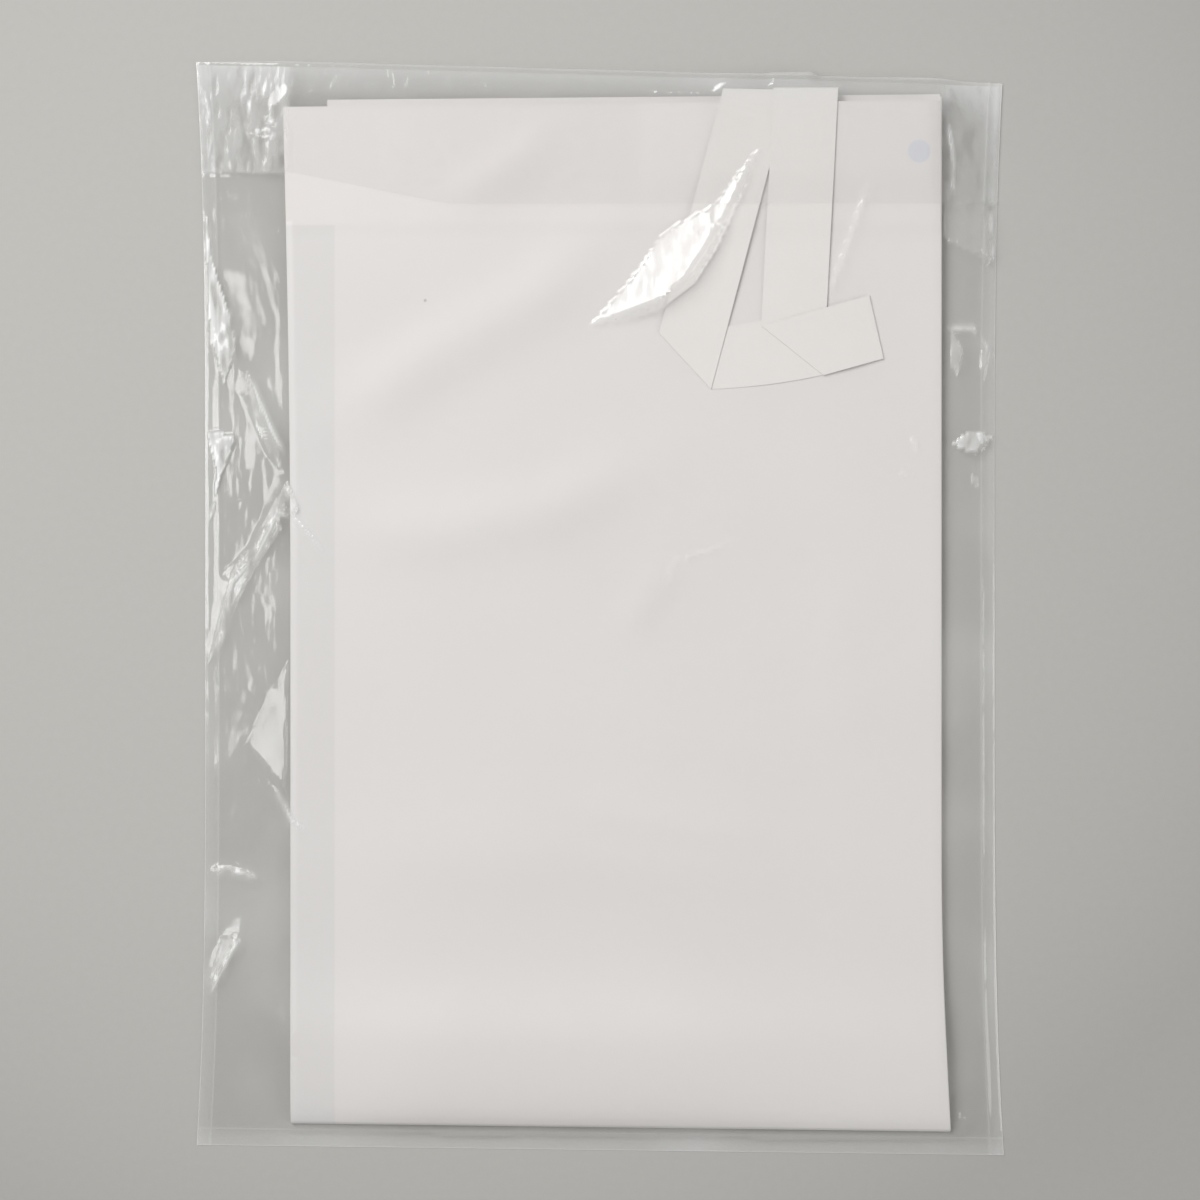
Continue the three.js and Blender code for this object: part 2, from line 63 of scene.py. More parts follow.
# Sleeve outline
SLEEVE_HALF = (sleeve_high[0] - sleeve_low[0]) / 2
TOP_LEAN = 8.2
FOOT_LEAN = 3.8
SIDE_WAIST = 3.3
WELD_BAND = 6.3
SIDE_BAND = 5.0
FILM = 0.08
FLAP_END = 150.0
FLAP_END_LEFT = 161.6
sleeve_height = sleeve_high[1] - sleeve_low[1] - (TOP_LEAN + FOOT_LEAN) / 2

# Folded bag, as its solid has it
TOP_FLARE = 3.0
FOOT_FLARE = 3.4
MOUTH_RISE = 2.2
REAR_PROUD = 2.6
REAR_INSET = 16.5
END_SHORT = 8.0
WALL = 0.15
POCKET_GAP = 0.15
LEAF_GAP = 0.15
CORE_GAP = 0.2
HEM_DEPTH = 45.0
HEM_STEP = 2.4
BOTTOM = 0.38
bag_right0 = bag_high[0] - FOOT_FLARE
bag_left0 = bag_low[0] + TOP_FLARE
bag_width = bag_right0 - bag_left0
mouth_right = bag_high[1] - REAR_PROUD
bag_height = mouth_right - bag_low[1]

# Tape strap
STRAP_WIDTH = 24.0
STRAP_THICK = 0.12
STRAP_PITCH = 0.22
STRAP_CLEAR = 0.08
STRAP_TUCK = 20.0
STRAP_RISE = 4.8

# Places where the walls of the mouth part: round the strap's tails and the snap
LIFT_HEIGHT = 1.85
LIFT_DEPTH = 26.3
LIFT_FALL = 25.0
LIFT_ROOM_LEFT = 6.0
SNAP_ROOM = 0.4
FOLD_ROOM = 1.0
strap_right = bag_right0 - 50.8
strap_left = strap_right - 18.3
snap_x = (snap_low[0] + snap_high[0]) / 2
snap_y = (snap_low[1] + snap_high[1]) / 2
snap_radius = (snap_high[0] - snap_low[0]) / 2


def ramp(value, start, end):
    return np.clip((value - start) / (end - start), 0, 1)


def smooth(value, start, end):
    t = ramp(value, start, end)
    return t * t * (3 - 2 * t)


def sleeve_side(y):
    return SLEEVE_HALF - SIDE_WAIST * (1 - np.abs(2 * y / sleeve_height) ** 4)


def sleeve_top(x):
    return sleeve_high[1] - TOP_LEAN * (x / SLEEVE_HALF / 2 + 0.5)


def sleeve_foot(x):
    return sleeve_low[1] + FOOT_LEAN * (0.5 - x / SLEEVE_HALF / 2)


def bag_foot(x):
    return bag_low[1] + FOOT_LEAN * (bag_high[0] - x) / SLEEVE_HALF / 2


def bag_mouth(x):
    return mouth_right - MOUTH_RISE * (bag_high[0] - x) / bag_width


def bag_share(y):
    return (y - bag_foot(0)) / bag_height


def bag_left(y):
    return bag_left0 - TOP_FLARE * ramp(bag_share(y), 0.5, 1) ** 2


def bag_right(y):
    return bag_right0 + FOOT_FLARE * ramp(bag_share(y), 0.27, 0) ** 2


def line_distance(x, y, line):
    """Distance to a line of points, share of its length and side (+1 left of its course)."""
    line = np.array(line, float)
    lengths = np.linalg.norm(np.diff(line, axis=0), axis=1)
    before = np.concatenate([[0], np.cumsum(lengths)[:-1]])
    best = np.full(np.shape(x), np.inf)
    share = np.zeros(np.shape(x))
    side = np.ones(np.shape(x))
    for (ax, ay), (bx, by), length, start in zip(line, line[1:], lengths, before):
        dx, dy = (bx - ax) / length, (by - ay) / length
        t = np.clip((x - ax) * dx + (y - ay) * dy, 0, length)
        gap = np.hypot(x - ax - dx * t, y - ay - dy * t)
        near = gap < best
        best = np.where(near, gap, best)
        share = np.where(near, (start + t) / lengths.sum(), share)
        side = np.where(near, np.sign(dx * (y - ay) - dy * (x - ax)), side)
    return best, share, side


# Share of a line's length over which its ends taper, and the share of its height that is left at the end
RIDGE_TAPER, RIDGE_END = 0.25, 0.35
SWELL_TAPER, SWELL_END = 0.3, 0.2


def ridge(x, y, line, height, left, right):
    """A straight-flanked ridge along a line, with its own width on each side and tapered ends."""
    gap, share, side = line_distance(x, y, line)
    width = np.where(side > 0, left, right)
    taper = ramp(np.minimum(share, 1 - share), 0, RIDGE_TAPER)
    return height * ramp(gap, width, 0) * (RIDGE_END + (1 - RIDGE_END) * taper)


def swell(x, y, line, height, left, right):
    """A soft rounded fold along a line."""
    gap, share, side = line_distance(x, y, line)
    width = np.where(side > 0, left, right)
    taper = smooth(np.minimum(share, 1 - share), 0, SWELL_TAPER)
    return height * np.exp(-((gap / width) ** 2)) * (SWELL_END + (1 - SWELL_END) * taper)


# Soft folds of the vinyl over its whole front: line, height, widths to the left and right of its course
VINYL_FOLDS = [
    ([(-104, 66), (-64, 92), (-22, 116), (6, 142)], 1.7, 12, 12),
    ([(-102, 30), (-60, 28), (-20, 36), (25, 56)], 1.6, 12, 12),
    ([(-60, 150), (-40, 160), (-12, 180)], 0.8, 8, 9),
    ([(-25, -72), (20, -80), (70, -88)], 0.5, 14, 5),
    ([(28, 18), (18, 4), (10, -12)], 0.6, 6, 8),
    ([(95, 25), (88, -20), (96, -60)], 0.7, 16, 12),
    ([(-112, -92), (-60, -93), (0, -92), (90, -97)], 1.0, 18, 16),
]
PUFF = 0.5
HEM_BLEND = 0.56
HEM_FADE = 60.0
BESIDE_SNAP_SHARE = 0.6

# Roll along the bag's foot: how hard the fold is pressed, where its crest is, and how it falls off behind
FOOT_PRESS = 2.2
ROLL_CREST = 31.0
ROLL_HEIGHT = 4.3
ROLL_BACK = 19.0

# Taper of the roll to the left and right: from where to where, and the share of its height at the side
ROLL_LEFT = (bag_left0 + 60, bag_left0 - 4, 0.4)
ROLL_RIGHT = (20.0, 110.0, 0.5)


def right_of_snap(x):
    """0 as far as the snap, 1 at the side fold."""
    return ramp(x, snap_x + snap_radius + SNAP_ROOM, bag_right0 - FOLD_ROOM)


def near_mouth(x, y):
    """1 where the mouth's walls are parted in full, 0 where they lie together again."""
    return ramp(bag_mouth(x) - y, LIFT_DEPTH + LIFT_FALL, LIFT_DEPTH)


def vinyl_swell(x, y):
    """How far the folded bag puffs up over its flat thickness."""
    up = y - bag_foot(x)
    crest = ROLL_HEIGHT
    for start, end, left_over in (ROLL_LEFT, ROLL_RIGHT):
        crest = crest * (1 - (1 - left_over) * smooth(x, start, end))
    rise = np.sqrt(1 - (1 - ramp(up, 0, ROLL_CREST)) ** 2)
    fall = np.exp(-((np.clip(up - ROLL_CREST, 0, None) / ROLL_BACK) ** 2))
    roll = np.where(up < ROLL_CREST, (crest + FOOT_PRESS) * rise - FOOT_PRESS, crest * fall)
    below_hem = bag_mouth(x) - y - HEM_DEPTH
    total = PUFF + roll
    total = total + HEM_BLEND * smooth(below_hem, 0, HEM_STEP) * smooth(below_hem, HEM_FADE, 2 * HEM_STEP)
    total = total + LIFT_HEIGHT * BESIDE_SNAP_SHARE * right_of_snap(x) * near_mouth(x, y)
    for line, height, left, right in VINYL_FOLDS:
        total = total + swell(x, y, line, height, left, right)
    return total


def stack(wall):
    """Thickness of four walls with the gaps between them."""
    return 4 * wall + 2 * POCKET_GAP + LEAF_GAP


FOLD_CENTRE = BOTTOM + stack(WALL) + CORE_GAP / 2
PLAIN_FACE = FOLD_CENTRE + CORE_GAP / 2 + stack(WALL)
HEM_FACE = FOLD_CENTRE + CORE_GAP / 2 + stack(2 * WALL)
FOOT_ROUND = CORE_GAP / 2 + stack(WALL)


def lift(x, y):
    """How far the front wall is lifted off the one behind it by what lies in the mouth."""
    left = strap_left - STRAP_WIDTH / 2 - LIFT_ROOM_LEFT
    across = ramp(x, left - LIFT_FALL, left) * (1 - right_of_snap(x))
    return LIFT_HEIGHT * across * near_mouth(x, y)


def puffed(x, y, z):
    """Height of a point of the flat stack once the stack is puffed up."""
    return z * (1 + vinyl_swell(x, y) / PLAIN_FACE)


def bag_face(x, y):
    """Top of the bag's front wall."""
    hem = smooth(bag_mouth(x) - y, HEM_DEPTH + HEM_STEP, HEM_DEPTH)
    flat = PLAIN_FACE + (HEM_FACE - PLAIN_FACE) * hem + lift(x, y)
    return puffed(x, y, flat)


# Materials
def new_material(name):
    material = bpy.data.materials.new(name)
    material.use_nodes = True
    nodes = material.node_tree.nodes
    nodes.clear()
    return material, nodes, material.node_tree.links


def math_node(nodes, links, operation, *values, clamp=False):
    node = nodes.new("ShaderNodeMath")
    node.operation = operation
    node.use_clamp = clamp
    for socket, value in zip(node.inputs, values):
        if isinstance(value, bpy.types.NodeSocket):
            links.new(value, socket)
        else:
            socket.default_value = value
    return node.outputs[0]


def step_node(nodes, links, value, start, end):
    """0 below start, 1 above end, smooth between, from a value in metres."""
    node = nodes.new("ShaderNodeMapRange")
    node.interpolation_type = "SMOOTHSTEP"
    links.new(value, node.inputs["Value"])
    node.inputs["From Min"].default_value = start
    node.inputs["From Max"].default_value = end
    return node.outputs["Result"]


def noise_node(nodes, links, coordinates, scale, detail=3.0):
    node = nodes.new("ShaderNodeTexNoise")
    node.inputs["Scale"].default_value = scale
    node.inputs["Detail"].default_value = detail
    links.new(coordinates, node.inputs["Vector"])
    return node.outputs["Fac"]


def drifting_colour(nodes, links, coordinates, scale, detail, colours):
    """A colour that drifts between two others with a noise."""
    blend = nodes.new("ShaderNodeMix")
    blend.data_type = "RGBA"
    links.new(noise_node(nodes, links, coordinates, scale, detail), blend.inputs["Factor"])
    blend.inputs["A"].default_value = (*colours[0], 1)
    blend.inputs["B"].default_value = (*colours[1], 1)
    return blend.outputs["Result"]


def grain_node(nodes, links, height, strength, depth):
    """Normal of a surface with a fine grain, depth in millimetres."""
    grain = nodes.new("ShaderNodeBump")
    grain.inputs["Strength"].default_value = strength
    grain.inputs["Distance"].default_value = depth * MM
    links.new(height, grain.inputs["Height"])
    return grain.outputs["Normal"]


def surface(nodes, links, shader):
    output = nodes.new("ShaderNodeOutputMaterial")
    links.new(shader.outputs[0], output.inputs["Surface"])


def tint_node(nodes, links, base, factor, colour):
    """Multiplies a colour by another one where factor is 1."""
    node = nodes.new("ShaderNodeMix")
    node.data_type = "RGBA"
    node.blend_type = "MULTIPLY"
    links.new(factor, node.inputs["Factor"])
    links.new(base, node.inputs["A"])
    node.inputs["B"].default_value = (*colour, 1)
    return node.outputs["Result"]


VINYL_COLOURS = ((0.769, 0.731, 0.707), (0.797, 0.768, 0.748))
THIN_STRIP_TINT = (0.942, 0.95, 0.955)
BELOW_HEM_TINT = (0.98, 0.988, 0.99)
HEM_SOFT = 0.6
STRIP_SOFT = 0.5

# Spots on the vinyl: across, along, radius, softness of the rim, tint
SNAP_SPOT = (snap_x, snap_y, snap_radius, 0.8, (0.885, 0.928, 1.0))
DIRT_SPOT = (-65.0, 114.2, 0.7, 0.5, (0.66, 0.66, 0.64))


def white_vinyl():
    """Satin white vinyl, cooler where fewer walls lie under it and warmer along the hem."""
    material, nodes, links = new_material("white_vinyl")
    coordinates = nodes.new("ShaderNodeTexCoord").outputs["Object"]
    split = nodes.new("ShaderNodeSeparateXYZ")
    links.new(coordinates, split.inputs[0])
    x, y = split.outputs["X"], split.outputs["Y"]

    colour = drifting_colour(nodes, links, coordinates, 14, 1, VINYL_COLOURS)
    rear_edge = bag_left0 + REAR_INSET
    hem_line = bag_mouth(0) - HEM_DEPTH
    below_hem = step_node(nodes, links, y, (hem_line + HEM_SOFT) * MM, (hem_line - HEM_SOFT) * MM)
    thin_strip = step_node(nodes, links, x, (rear_edge + STRIP_SOFT) * MM, (rear_edge - STRIP_SOFT) * MM)
    thin_strip = math_node(nodes, links, "MULTIPLY", thin_strip, below_hem)
    colour = tint_node(nodes, links, colour, thin_strip, THIN_STRIP_TINT)
    colour = tint_node(nodes, links, colour, below_hem, BELOW_HEM_TINT)

    flat = nodes.new("ShaderNodeCombineXYZ")
    links.new(x, flat.inputs[0])
    links.new(y, flat.inputs[1])
    for across, along, radius, soft, tint in (SNAP_SPOT, DIRT_SPOT):
        place = nodes.new("ShaderNodeVectorMath")
        place.operation = "DISTANCE"
        links.new(flat.outputs[0], place.inputs[0])
        place.inputs[1].default_value = (across * MM, along * MM, 0)
        outer = (radius + soft / 4) * MM
        spot = step_node(nodes, links, place.outputs["Value"], outer, outer - soft * MM)
        colour = tint_node(nodes, links, colour, spot, tint)

    shader = nodes.new("ShaderNodeBsdfPrincipled")
    links.new(colour, shader.inputs["Base Color"])
    shader.inputs["Roughness"].default_value = 0.42
    shader.inputs["Specular IOR Level"].default_value = 0.45
    grain = noise_node(nodes, links, coordinates, 260, 0)
    links.new(grain_node(nodes, links, grain, 0.12, 0.4), shader.inputs["Normal"])
    surface(nodes, links, shader)
    return material


TAPE_COLOURS = ((0.785, 0.757, 0.73), (0.815, 0.787, 0.76))


def white_tape():
    """Matt white tape with a fine grain."""
    material, nodes, links = new_material("white_tape")
    coordinates = nodes.new("ShaderNodeTexCoord").outputs["Object"]
    colour = drifting_colour(nodes, links, coordinates, 30, 2, TAPE_COLOURS)
    shader = nodes.new("ShaderNodeBsdfPrincipled")
    links.new(colour, shader.inputs["Base Color"])
    shader.inputs["Roughness"].default_value = 0.6
    shader.inputs["Specular IOR Level"].default_value = 0.3
    grain = noise_node(nodes, links, coordinates, 900, 1)
    links.new(grain_node(nodes, links, grain, 0.1, 0.3), shader.inputs["Normal"])
    surface(nodes, links, shader)
    return material


def film_borders(nodes, links, coordinates):
    """Distances from the film's borders and pressed lines, each with a width and a milkiness: partly the
    film's own haze at welds and edges, partly painted highlight along the pressed lines, and painted light
    over the foot strip where the bag's shadow falls.
    """
    split = nodes.new("ShaderNodeSeparateXYZ")
    links.new(coordinates, split.inputs[0])
    x, y = split.outputs["X"], split.outputs["Y"]
    share = math_node(nodes, links, "ABSOLUTE", math_node(nodes, links, "DIVIDE", y, sleeve_height * MM / 2))
    waist = math_node(nodes, links, "POWER", share, 4.0)
    side = math_node(nodes, links, "MULTIPLY_ADD", waist, SIDE_WAIST * MM, (SLEEVE_HALF - SIDE_WAIST) * MM)
    in_side = math_node(nodes, links, "SUBTRACT", side, math_node(nodes, links, "ABSOLUTE", x))
    below_top = math_node(nodes, links, "MULTIPLY_ADD", x, TOP_LEAN / SLEEVE_HALF / 2, y)
    below_top = math_node(nodes, links, "SUBTRACT", sleeve_top(0) * MM, below_top)
    over_foot = math_node(nodes, links, "MULTIPLY_ADD", x, FOOT_LEAN / SLEEVE_HALF / 2, y)
    over_foot = math_node(nodes, links, "SUBTRACT", over_foot, sleeve_foot(0) * MM)
    rim = math_node(nodes, links, "MINIMUM", in_side, below_top)
    rim = math_node(nodes, links, "MINIMUM", rim, over_foot)
    over_weld = math_node(nodes, links, "SUBTRACT", over_foot, WELD_BAND * MM)
    over_weld = math_node(nodes, links, "ABSOLUTE", over_weld)
    in_band = math_node(nodes, links, "SUBTRACT", in_side, SIDE_BAND * MM)
    in_band = math_node(nodes, links, "ABSOLUTE", in_band)
    pressed = math_node(nodes, links, "MINIMUM", over_weld, in_band)
    # Part painted: highlight along the weld and side lines, and light over the foot strip that lifts the
    # bag's shadow
    return [
        (rim, 0.5, 0.1),
        (pressed, 0.6, 0.06),
        (in_side, 8.0, 0.1),
        (below_top, 18.0, 0.16),
        (over_foot, 9.0, 0.12),
    ]


# Share of light that the film throws back when looked at squarely, and how far creases dull it in patches
FILM_GLOSS = 0.05
CREASE_DULL = 2.2

# Milkiness of the film: its own haze everywhere and in broad patches, and painted glints along creases
HAZE_LEAST = 0.004
HAZE_PATCHES = 0.1
GLINT_HAZE = 0.9

# How much deeper the film's crinkles are where the painted glints lie
CREASE_CRINKLE = 9.0


def clear_film():
    """Thin clear film: see-through and glossy with a faint haze of its own; the haze is whitened into painted
    glints along creases and pleats and, in part, along the borders.
    """
    material, nodes, links = new_material("clear_film")
    coordinates = nodes.new("ShaderNodeTexCoord").outputs["Object"]
    clear = nodes.new("ShaderNodeBsdfTransparent")
    clear.inputs["Color"].default_value = (0.989, 0.989, 0.989, 1)
    gloss = nodes.new("ShaderNodeBsdfGlossy")
    gloss.inputs["Color"].default_value = (1, 1, 1, 1)
    gloss.inputs["Roughness"].default_value = 0.1
    haze = nodes.new("ShaderNodeBsdfDiffuse")
    haze.inputs["Color"].default_value = (0.95, 0.95, 0.94, 1)
    stretch = nodes.new("ShaderNodeMapping")
    stretch.inputs["Rotation"].default_value = (0, 0, 0.8)
    stretch.inputs["Scale"].default_value = (1.0, 0.35, 1.0)
    links.new(coordinates, stretch.inputs["Vector"])
    # Painted glints: the front film's mesh carries a layer saying where its haze is whitened into glints
    glint_layer = nodes.new("ShaderNodeAttribute")
    glint_layer.attribute_name = "painted_glint"
    painted_glint = glint_layer.outputs["Fac"]
    streaks = noise_node(nodes, links, stretch.outputs[0], 260, 1)
    deeper = math_node(nodes, links, "MULTIPLY_ADD", painted_glint, CREASE_CRINKLE, 1.0)
    crinkles = math_node(nodes, links, "MULTIPLY", streaks, deeper)
    links.new(grain_node(nodes, links, crinkles, 0.3, 0.6), gloss.inputs["Normal"])
    facing = nodes.new("ShaderNodeLayerWeight").outputs["Facing"]
    grazing = math_node(nodes, links, "POWER", facing, 5.0)
    dull = math_node(nodes, links, "MULTIPLY", painted_glint, step_node(nodes, links, streaks, 0.56, 0.44))
    patchy = math_node(nodes, links, "MULTIPLY_ADD", dull, -CREASE_DULL * FILM_GLOSS, FILM_GLOSS, clamp=True)
    gloss_share = math_node(nodes, links, "MULTIPLY_ADD", grazing, 1 - FILM_GLOSS, patchy)
    patches = step_node(nodes, links, noise_node(nodes, links, coordinates, 22, 1), 0.45, 0.75)
    haze_and_glint = math_node(nodes, links, "MULTIPLY_ADD", patches, HAZE_PATCHES, HAZE_LEAST)
    # Painted glints: the haze is whitened in streaks where the glint layer is set
    glint_streaks = math_node(nodes, links, "MULTIPLY", painted_glint, step_node(nodes, links, streaks, 0.15, 0.6))
    haze_and_glint = math_node(nodes, links, "MULTIPLY_ADD", glint_streaks, GLINT_HAZE, haze_and_glint)
    for distance, width, share in film_borders(nodes, links, coordinates):
        near = step_node(nodes, links, distance, width * MM, 0)
        haze_and_glint = math_node(nodes, links, "MULTIPLY_ADD", near, share, haze_and_glint)
    body = nodes.new("ShaderNodeMixShader")
    links.new(haze_and_glint, body.inputs["Fac"])
    links.new(clear.outputs[0], body.inputs[1])
    links.new(haze.outputs[0], body.inputs[2])
    coat = nodes.new("ShaderNodeMixShader")
    links.new(gloss_share, coat.inputs["Fac"])
    links.new(body.outputs[0], coat.inputs[1])
    links.new(gloss.outputs[0], coat.inputs[2])
    surface(nodes, links, coat)
    return material


FLOOR_COLOURS = ((0.479, 0.47, 0.446), (0.499, 0.49, 0.465))

# Painted pool of light on the floor: its brightest place, how far out painted shade has darkened it, and to
# what share
FLOOR_LIGHT_POOL = (-45.0, 75.0)
FLOOR_REACH = 340.0
FLOOR_CORNER_SHADE = 0.83


def floor_paper():
    """Pale grey studio floor with painted light: brightest at one place, with painted shade towards the
    corners.
    """
    material, nodes, links = new_material("floor_paper")
    coordinates = nodes.new("ShaderNodeTexCoord").outputs["Object"]
    colour = drifting_colour(nodes, links, coordinates, 350, 1, FLOOR_COLOURS)
    # Painted shade: the floor's colour darkens with distance from the painted pool of light
    reach = nodes.new("ShaderNodeVectorMath")
    reach.operation = "DISTANCE"
    links.new(coordinates, reach.inputs[0])
    reach.inputs[1].default_value = (FLOOR_LIGHT_POOL[0] * MM, FLOOR_LIGHT_POOL[1] * MM, 0)
    share = math_node(nodes, links, "DIVIDE", reach.outputs["Value"], FLOOR_REACH * MM)
    share = math_node(nodes, links, "POWER", share, 4.0, clamp=True)
    colour = tint_node(nodes, links, colour, share, (FLOOR_CORNER_SHADE, FLOOR_CORNER_SHADE, FLOOR_CORNER_SHADE))
    shader = nodes.new("ShaderNodeBsdfDiffuse")
    links.new(colour, shader.inputs["Color"])
    surface(nodes, links, shader)
    return material


SNAP_COLOURS = ((0.6, 0.62, 0.66), (0.66, 0.68, 0.72))


def snap_plastic():
    """Smooth moulded plastic, a cool white."""
    material, nodes, links = new_material("snap_plastic")
    coordinates = nodes.new("ShaderNodeTexCoord").outputs["Object"]
    colour = drifting_colour(nodes, links, coordinates, 400, 2, SNAP_COLOURS)
    shader = nodes.new("ShaderNodeBsdfPrincipled")
    links.new(colour, shader.inputs["Base Color"])
    shader.inputs["Roughness"].default_value = 0.3
    surface(nodes, links, shader)
    return material


# Pieces
class Shape:
    """Grids of points joined into one mesh."""

    def __init__(self):
        self.points = []
        self.faces = []
        self.painted_glint = []

    def sheet(self, points, ring=False, painted_glint=None):
        """Adds a grid of points, rows by columns. A ring joins each row's end to its start."""
        rows, columns = points.shape[:2]
        r = np.arange(rows - 1)[:, None]
        c = np.arange(columns if ring else columns - 1)[None, :]
        after = (c + 1) % columns
        corners = (r * columns + c, r * columns + after, (r + 1) * columns + after, (r + 1) * columns + c)
        start = sum(len(group) for group in self.points)
        self.faces += (np.stack(np.broadcast_arrays(*corners), -1).reshape(-1, 4) + start).tolist()
        self.points.append(points.reshape(-1, 3))
        self.painted_glint.append(np.zeros(rows * columns) if painted_glint is None else painted_glint.reshape(-1))

    def piece(self, name, material, *nodes):
        """Makes the mesh in metres, smooth but for its crisp edges, in place of the solids of these nodes."""
        mesh = bpy.data.meshes.new(name)
        mesh.from_pydata((np.concatenate(self.points) * MM).tolist(), [], self.faces)
        painted_glint = np.concatenate(self.painted_glint)
        if painted_glint.any():
            # The film's painted glints go onto the mesh as a layer of their own
            glint_layer = mesh.attributes.new("painted_glint", "FLOAT", "POINT")
            glint_layer.data.foreach_set("value", painted_glint.astype(np.float32))
        joined = bmesh.new()
        joined.from_mesh(mesh)
        bmesh.ops.remove_doubles(joined, verts=joined.verts, dist=WELD_DISTANCE * MM)
        bmesh.ops.recalc_face_normals(joined, faces=joined.faces)
        joined.to_mesh(mesh)
        joined.free()
        mesh.polygons.foreach_set("use_smooth", [True] * len(mesh.polygons))
        mesh.set_sharp_from_angle(angle=math.radians(CRISP_TURN))
        mesh.materials.append(material)
        made = bpy.data.objects.new(name, mesh)
        bpy.context.scene.collection.objects.link(made)
        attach(made, "root")
        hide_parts(*nodes)
        return made


# Grid of the bag: points across its front leaf, its side fold and its rear leaf
FRONT_POINTS, SIDE_POINTS, REAR_POINTS = 84, 7, 44

# Rows down its hem, below the hem, round its foot and up its back
HEM_ROWS, WALL_ROWS, FOOT_ROWS, BACK_ROWS = 20, 108, 14, 23


def stations_of_bag():
    """Places round the bag's section: turn about the side fold, and x from height and thickness."""
    edge = WALL + POCKET_GAP / 2

    def place(share, inset):
        def across(y, thick):
            at_fold = bag_right(y) - thick / 2
            return at_fold + share * (bag_left(y) + inset + edge - at_fold)
        return across

    places = [(0.0, place(share, 0)) for share in np.linspace(1, 0, FRONT_POINTS)]
    places += [(turn, place(0, 0)) for turn in np.linspace(0, math.pi, SIDE_POINTS + 2)[1:-1]]
    places += [(math.pi, place(share, REAR_INSET)) for share in np.linspace(0, 1, REAR_POINTS)]
    return places


def bag_rows():
    """Rows of the bag's grid, from its mouth down the front, round the foot and up the back."""
    rows = [{"down": d, "wall": 2 * WALL} for d in np.linspace(0, HEM_DEPTH, HEM_ROWS)]
    straight = np.linspace(HEM_DEPTH + HEM_STEP, bag_height - FOOT_ROUND, WALL_ROWS)
    rows += [{"down": d, "wall": WALL} for d in straight]
    rows += [{"bend": b, "wall": WALL} for b in np.linspace(0, math.pi, FOOT_ROWS + 1)[1:]]
    rows += [{"bend": math.pi, "up": u, "wall": WALL} for u in np.linspace(0, 1, BACK_ROWS + 1)[1:]]
    return rows


def folded_bag(material):
    """The flattened pocket: its section bends round the side fold and is swept round the foot."""
    stations = stations_of_bag()
    turn = np.array([s[0] for s in stations])
    edge = WALL + POCKET_GAP / 2

    def line(radius, row, inward=0.0, only=slice(None)):
        """Points of one row at a distance from the middle of the four walls."""
        thick = stack(row["wall"])
        x0 = np.array([s[1](0.0, thick) for s in stations[only]])
        turned = turn[only]
        straight_end = bag_foot(x0) + FOOT_ROUND
        bend = row.get("bend", 0.0)
        y = straight_end
        if "down" in row:
            mouth = bag_mouth(x0) + REAR_PROUD * turned / math.pi
            y = mouth + (straight_end - mouth) * row["down"] / (bag_height - FOOT_ROUND)
        if "up" in row:
            y = straight_end + (bag_mouth(x0) - END_SHORT - straight_end) * row["up"]
        from_core = CORE_GAP / 2 + thick / 2 + radius * np.cos(turned)
        x = np.array([s[1](v, thick) for s, v in zip(stations[only], y)]) + radius * np.sin(turned) + inward
        z = FOLD_CENTRE + from_core * math.cos(bend)
        if "down" in row and radius > LEAF_GAP / 2 + 1.5 * WALL:
            z = z + np.where(turned == 0, lift(x0, y), 0)
        y = y - from_core * math.sin(bend)
        return np.stack([x, y, puffed(x, np.maximum(y, bag_foot(x)), z)], -1)

    def ring(row, outside):
        """One row's closed ring: the outer or inner faces of the front wall and the wall behind it."""
        front = stack(row["wall"]) / 2 - (0 if outside else row["wall"])
        rear = LEAF_GAP / 2 + (0 if outside else row["wall"])
        inward = -edge if outside else WALL - edge
        middle = (front + rear) / 2
        far = line(middle, row, inward, slice(-1, None))
        near = line(middle, row, inward, slice(0, 1))
        return np.concatenate([line(front, row), far, line(rear, row)[::-1], near])

    rows = bag_rows()
    outside = [ring(row, True) for row in rows][::-1]
    inside = [ring(row, False) for row in rows[:-1]]
    shape = Shape()
    shape.sheet(np.array(outside + inside), ring=True)
    count = len(stations)
    for last in (outside[0], inside[-1]):
        front_side = last[:count]
        back_side = last[count + 1:2 * count + 1][::-1]
        order = (front_side, back_side) if last is outside[0] else (back_side, front_side)
        shape.sheet(np.array(order))
    return shape.piece("vinyl_bag", material, "folded_bag")


# Corners of the strap's middle line, from the top of its left run: across, and down
STRAP_CORNERS = [(5.5, STRAP_TUCK + STRAP_RISE), (0, 0), (-26.5, 100.9), (44.8, 88.2), (13.4, 97),
                 (18.3, -0.6), (19.8, STRAP_TUCK + STRAP_RISE)]
STRAP_SLACK = 4.5
POCKET_CLEAR = 0.3
TAIL_PITCH = 0.5
strap_top = bag_mouth(strap_left) + STRAP_RISE


def on_face(level):
    """Height of the tape's middle over the bag's front, some layers of tape up."""
    return lambda x, y: bag_face(x, y) + STRAP_CLEAR + STRAP_THICK / 2 + level * STRAP_PITCH


def in_pocket(level):
    """Height of the middle of a tail inside the mouth, some tails down."""
    inner_face = HEM_FACE + LIFT_HEIGHT - 2 * WALL
    return lambda x, y: puffed(x, y, inner_face) - POCKET_CLEAR - STRAP_THICK / 2 - level * TAIL_PITCH


# Spans between the corners: steps, heights at start and end, sideways bow, and how far the span humps up
STRAP_SPANS = [
    (6, in_pocket(0), in_pocket(0), 0, 0),
    (40, on_face(0), on_face(1.4), 0, 0.8),
    (28, on_face(0), on_face(0), -STRAP_SLACK / 2, 0.1),
    (16, on_face(2.3), on_face(2.6), 0, 0.3),
    (40, on_face(1.3), on_face(1.5), 0, 0.3),
    (6, in_pocket(1), in_pocket(1), 0, 0),
]
STRAP_ACROSS = 9
CORNER_ROWS = 9


